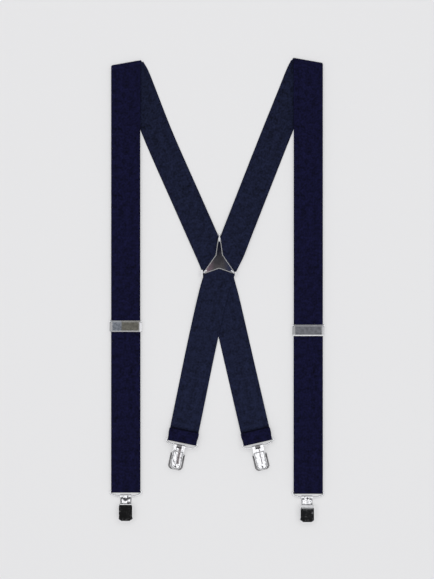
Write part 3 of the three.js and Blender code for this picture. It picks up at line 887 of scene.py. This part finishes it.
def wire(name, path, radius):
    """A closed bar of round wire along a level loop of points in mm, shaped from a torus."""
    tube = 0.25
    deselect()
    bpy.ops.mesh.primitive_torus_add(
        major_segments=len(path), minor_segments=14, major_radius=1, minor_radius=tube
    )
    obj = bpy.context.object
    obj.name = name
    count = len(path)
    for vertex in obj.data.vertices:
        angle = math.atan2(vertex.co.y, vertex.co.x) % (2 * math.pi)
        i = round(angle / (2 * math.pi) * count) % count
        forward = (path[(i + 1) % count] - path[i - 1]).normalized()
        out = forward.cross(UP)
        reach = Vector((vertex.co.x, vertex.co.y)).length - 1
        vertex.co = (path[i] + out * (reach / tube * radius) + UP * (vertex.co.z / tube * radius)) * MM
    only(obj)
    bpy.ops.object.mode_set(mode="EDIT")
    bpy.ops.mesh.select_all(action="SELECT")
    bpy.ops.mesh.normals_make_consistent(inside=False)
    bpy.ops.object.mode_set(mode="OBJECT")
    bpy.ops.object.shade_smooth()
    return obj


# right half of a ring, from the middle of its clip's end to the middle of its bar
RING_HALF_PATH = (
    (0, -4.2),
    (5, -4.2),
    (9.6, -4.15),
    (13.2, -3.35),
    (16.2, -2.2),
    (18, -1),
    (18.72, 0.3),
    (18.72, 1.1),
    (18.3, 2.05),
    (17.2, 2.45),
    (12, 2.45),
    (6, 2.45),
    (0, 2.45),
)


def ring(name, spec):
    """The D-shaped bail that joins a strap to its clip."""
    right = [Vector((x, y, 0)) for x, y in RING_HALF_PATH]
    left = [Vector((-p.x, p.y, 0)) for p in reversed(right[1:-1])]
    smooth = spline([*right, *left, right[0]], 0.9)[:-1]
    obj = wire(f"{name}_bail", smooth, RING_WIRE)
    place, on = ring_middle(spec["end"], spec["side"])
    turn = math.atan2(on.x, -on.y)
    obj.rotation_euler = (0, math.pi if spec["end"] == "back" else 0, turn)
    obj.location = place * MM
    settle(obj)
    obj.data.materials.append(material("polished_chrome"))
    stand_in(obj, f"{name}_ring", f"{name}_ring")


def clip(name, spec):
    """A clip's jaws, lever, pin and pad."""
    body = f"{name}_body"
    tongue = metal_copy(f"{name}_back_jaw", f"{name}_tongue", body)
    metal_copy(f"{name}_pivot_pin", f"{name}_rivet", body, edge=FINE_EDGE)
    jaw = metal_copy(f"{name}_front_jaw", f"{name}_toothed_jaw", f"{name}_front_jaw")
    lever = metal_copy(f"{name}_lever", f"{name}_cover", f"{name}_lever")
    metal_copy(f"{name}_jaw_pad", f"{name}_grip_pad", body, "moulded_grip")

    up = 1 if spec["end"] == "front" else -1
    ring_z = ring_middle(spec["end"], spec["side"])[0].z

    def outside(centre, normal):
        return normal.z * up < -0.99

    def lip(centre, normal):
        return outside(centre, normal) and (ring_z * MM - centre.z) * up > LIP_FROM * MM

    def face(centre, normal):
        return normal.z * up > 0.99

    def upper(centre, normal):
        return normal.z * up > 0.3

    def inside(centre, normal):
        return normal.z * up < -0.3

    # the tongue's outer face gets painted shade in its crease and blots
    paint(tongue, pressed_material(name, spec), outside)
    # the tongue's raised lip is darkened with painted shade
    paint(tongue, material("worn_and_shaded_edge"), lip)
    # the jaw's upper faces get blots of painted shade
    paint(jaw, material("pressed_neck"), upper)
    # the jaw's inner faces get painted shade
    paint(jaw, material("dull_and_shaded_inside"), inside)
    paint(lever, material("mirror_chrome"), face)
    # the lever's inner faces get painted shade
    paint(lever, material("dull_and_shaded_inside"), inside)


def adjuster(side):
    """An adjuster's frame and pin, and its cover with a satin panel in a rim of painted shade and painted
    highlights.
    """
    body = f"adjuster_{side}"
    metal_copy(f"adjuster_frame_{side}", f"adjuster_body_{side}", body)
    metal_copy(f"adjuster_pin_{side}", f"adjuster_axle_{side}", body, edge=FINE_EDGE)
    lever = f"adjuster_lever_{side}"
    cover = metal_copy(lever, f"adjuster_cover_{side}", lever)
    top = PANEL_TOP * MM
    barrel_y = (ADJUSTER_Y[side] + BARREL_FROM) * MM

    def panel(centre, normal):
        return normal.z > 0.99 and abs(centre.z - top) < 0.1 * MM

    def rim(centre, normal):
        return normal.z > 0.3 and centre.z > top + 0.2 * MM

    def barrel(centre, normal):
        return centre.y > barrel_y and normal.y < 0.6

    satin = material("satin_panel_left" if side == "left" else "satin_panel")
    paint(cover, satin, panel)
    # the rim gets painted shade and painted highlights
    paint(cover, rim_material(side), rim)
    paint(cover, satin, barrel)


def hem_stitches(side):
    """Rows of short thread stitches across a back strap's hem, on its upper face."""
    place, on = ring_middle("back", side)
    across = on.cross(UP)
    made = []
    for along, height, pitch, shape in HEM_STITCHES:
        count = int(2 * (WEB_HALF - STITCH_MARGIN) / pitch) + 1
        deselect()
        bpy.ops.mesh.primitive_uv_sphere_add(segments=8, ring_count=6, radius=1)
        thread = bpy.context.object
        thread.scale = Vector(shape) * MM
        thread.rotation_euler = (0, 0, math.atan2(across.y, across.x))
        first = place - on * along - across * (pitch * (count - 1) / 2) + UP * height
        thread.location = first * MM
        settle(thread)
        apply_modifier(
            thread,
            "ARRAY",
            count=count,
            use_relative_offset=False,
            use_constant_offset=True,
            constant_offset_displace=across * (pitch * MM),
        )
        made.append(thread)
    deselect()
    for thread in made:
        thread.select_set(True)
    bpy.context.view_layer.objects.active = made[0]
    bpy.ops.object.join()
    obj = bpy.context.object
    obj.name = f"hem_stitching_{side}"
    bpy.ops.object.shade_smooth()
    obj.data.materials.append(material("navy_thread"))
    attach(obj, "back_harness")


# ---------------------------------------------------------------- stage

# Dark cards under the soft box, seen only in the metal: middle, size and tone
DARK_CARDS = {
    "dark_card_over_the_back": ((0, 0.07, 1.9), (0.74, 0.62), 0.11),
    "grey_card_over_the_crosspatch": ((0.006, 0.07, 1.88), (0.16, 0.2), 0.22),
    "dark_card_over_the_left_clip": ((-0.243, -0.536, 1.9), (0.094, 0.062), 0.015),
    "dark_card_over_the_right_clip": ((0.218, -0.545, 1.9), (0.07, 0.054), 0.02),
    "grey_card_over_the_left_back_clip": ((-0.2, -0.41, 1.9), (0.16, 0.2), 0.12),
    "grey_card_over_the_right_back_clip": ((0.2, -0.41, 1.9), (0.1, 0.2), 0.2),
}
# White walls round the table: middle and turn
WHITE_CARDS = {
    "white_card_left": ((-2.8, 0, 1.2), (0, math.pi / 2, 0)),
    "white_card_right": ((2.8, 0, 1.2), (0, -math.pi / 2, 0)),
    "white_card_below": ((0, -2.8, 1.2), (-math.pi / 2, 0, 0)),
    "white_card_above": ((0, 2.8, 1.2), (math.pi / 2, 0, 0)),
}
WHITE_CARD_SIZE = 3.6
WORLD_STRENGTH = 0.52
SOFT_BOX_SIZE = 4.4
SOFT_BOX_PLACE = (0, 0.3, 3.2)
CAMERA_X = 0.0004


def table(settings):
    """A pale matt table, lit partly by the lights and partly by itself."""
    deselect()
    bpy.ops.mesh.primitive_plane_add(size=8)
    floor = bpy.context.object
    floor.name = "table"
    shader = Shader("table")
    grain = shader.noise(shader.place(), 600.0, 2.0)
    tone = tuple(settings.floor)
    lit = toned(tone, settings.lit)
    shader.set(
        Base_Color=shader.mix(grain, toned(lit, 0.995), lit),
        Roughness=0.9,
        Emission_Color=tone,
        Emission_Strength=1 - settings.lit,
        Specular_IOR_Level=0.0,
    )
    floor.data.materials.append(shader.material)
    return floor


def card(name, location, size, turn=(0, 0, 0), **finish):
    """A card that the metal mirrors and nothing else shows."""
    deselect()
    bpy.ops.mesh.primitive_plane_add(size=1, location=location, rotation=turn)
    made = bpy.context.object
    made.name = name
    made.scale = (*size, 1)
    shader = Shader(name)
    shader.set(**finish)
    made.data.materials.append(shader.material)
    made.visible_camera = False
    made.visible_diffuse = False
    made.visible_shadow = False
    return made


# ---------------------------------------------------------------- operators


class SUSPENDERS_OT_stage(bpy.types.Operator):
    """Makes the table, the soft light and the camera straight above"""

    bl_idname = "suspenders.stage"
    bl_label = "Stage"

    def execute(self, context):
        settings = context.scene.stage_settings
        floor = table(settings)

        deselect()
        bpy.ops.object.light_add(type="AREA", location=SOFT_BOX_PLACE)
        light = context.object
        light.name = "overhead_soft_box"
        light.data.size = SOFT_BOX_SIZE
        light.data.energy = settings.light

        world = bpy.data.worlds.new("studio")
        world.use_nodes = True
        background = world.node_tree.nodes["Background"]
        background.inputs["Color"].default_value = (0.97, 0.98, 1, 1)
        background.inputs["Strength"].default_value = WORLD_STRENGTH
        context.scene.world = world

        for name, (location, size, tone) in DARK_CARDS.items():
            card(name, location, size, Base_Color=(tone, tone, tone * 1.12), Roughness=0.9)
        wall = (WHITE_CARD_SIZE, WHITE_CARD_SIZE)
        glow = {"Base_Color": (0, 0, 0), "Emission_Color": (1, 1, 1), "Emission_Strength": 1.3}
        for name, (location, turn) in WHITE_CARDS.items():
            card(name, location, wall, turn, **glow)

        deselect()
        bpy.ops.object.camera_add(location=(CAMERA_X, 0, settings.height))
        camera = context.object
        camera.name = "camera_above"
        camera.data.lens = 100
        camera.data.sensor_width = 36
        camera.data.clip_end = 30
        context.scene.camera = camera
        context.scene.view_settings.view_transform = "Standard"
        return {"FINISHED"}


class SUSPENDERS_OT_back_straps(bpy.types.Operator):
    """Makes the two back straps and the hemmed loops round their rings"""

    bl_idname = "suspenders.back_straps"
    bl_label = "Back straps"

    def execute(self, context):
        for side in SIDES:
            back_strap(side)
            hem_stitches(side)
        return {"FINISHED"}


class SUSPENDERS_OT_front_straps(bpy.types.Operator):
    """Makes the shoulder folds, the front straps, their loops and their tails"""

    bl_idname = "suspenders.front_straps"
    bl_label = "Front straps"

    def execute(self, context):
        for side in SIDES:
            shoulder_fold(side)
            front_strap(side)
        return {"FINISHED"}


class SUSPENDERS_OT_crosspatch(bpy.types.Operator):
    """Finishes the crosspatch plate and the wire behind it"""

    bl_idname = "suspenders.crosspatch"
    bl_label = "Crosspatch"

    def execute(self, context):
        patch = metal_copy("crosspatch_plate", "crosspatch_cover", "back_harness", edge=0.0004)
        top = PLATE_TOP * MM

        def mirror(centre, normal):
            return normal.z > 0.99 and abs(centre.z - top) < 0.1 * MM

        def rim(centre, normal):
            return normal.z > 0.3 and 0.2 * MM < centre.z - top < 0.55 * MM

        # the mirror's face carries painted reflections
        paint(patch, material("patch_mirror"), mirror)
        # the crosspatch's rim is darkened with painted shade
        paint(patch, material("worn_and_shaded_edge"), rim)
        metal_copy("crosspatch_back_wire", "crosspatch_wire", "back_harness", edge=0.0003, limit=30)
        return {"FINISHED"}


class SUSPENDERS_OT_adjusters(bpy.types.Operator):
    """Finishes the two adjusters"""

    bl_idname = "suspenders.adjusters"
    bl_label = "Adjusters"

    def execute(self, context):
        for side in SIDES:
            adjuster(side)
        return {"FINISHED"}


class SUSPENDERS_OT_clips(bpy.types.Operator):
    """Makes the four rings and finishes the four clips"""

    bl_idname = "suspenders.clips"
    bl_label = "Rings and clips"

    def execute(self, context):
        for name, spec in CLIPS.items():
            ring(name, spec)
            clip(name, spec)
        return {"FINISHED"}


STEPS = (
    SUSPENDERS_OT_stage,
    SUSPENDERS_OT_back_straps,
    SUSPENDERS_OT_front_straps,
    SUSPENDERS_OT_crosspatch,
    SUSPENDERS_OT_adjusters,
    SUSPENDERS_OT_clips,
)


class SUSPENDERS_PT_panel(bpy.types.Panel):
    bl_label = "Dress suspenders"
    bl_idname = "SUSPENDERS_PT_panel"
    bl_space_type = "VIEW_3D"
    bl_region_type = "UI"
    bl_category = "Suspenders"

    def draw(self, context):
        for group in ("webbing_settings", "metal_settings", "stage_settings"):
            settings = getattr(context.scene, group)
            for name in settings.bl_rna.properties.keys():
                if name not in ("rna_type", "name"):
                    self.layout.prop(settings, name)
        for step in STEPS:
            self.layout.operator(step.bl_idname)


SETTINGS = {
    "webbing_settings": WebbingSettings,
    "metal_settings": MetalSettings,
    "stage_settings": StageSettings,
}


def register():
    for cls in (*SETTINGS.values(), *STEPS, SUSPENDERS_PT_panel):
        bpy.utils.register_class(cls)
    for name, cls in SETTINGS.items():
        setattr(bpy.types.Scene, name, PointerProperty(type=cls))


def unregister():
    for name in SETTINGS:
        delattr(bpy.types.Scene, name)
    for cls in (SUSPENDERS_PT_panel, *reversed(STEPS), *SETTINGS.values()):
        bpy.utils.unregister_class(cls)


def main():
    register()
    for step in STEPS:
        group, name = step.bl_idname.split(".")
        getattr(getattr(bpy.ops, group), name)()
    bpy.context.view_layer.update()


if __name__ == "__main__":
    main()
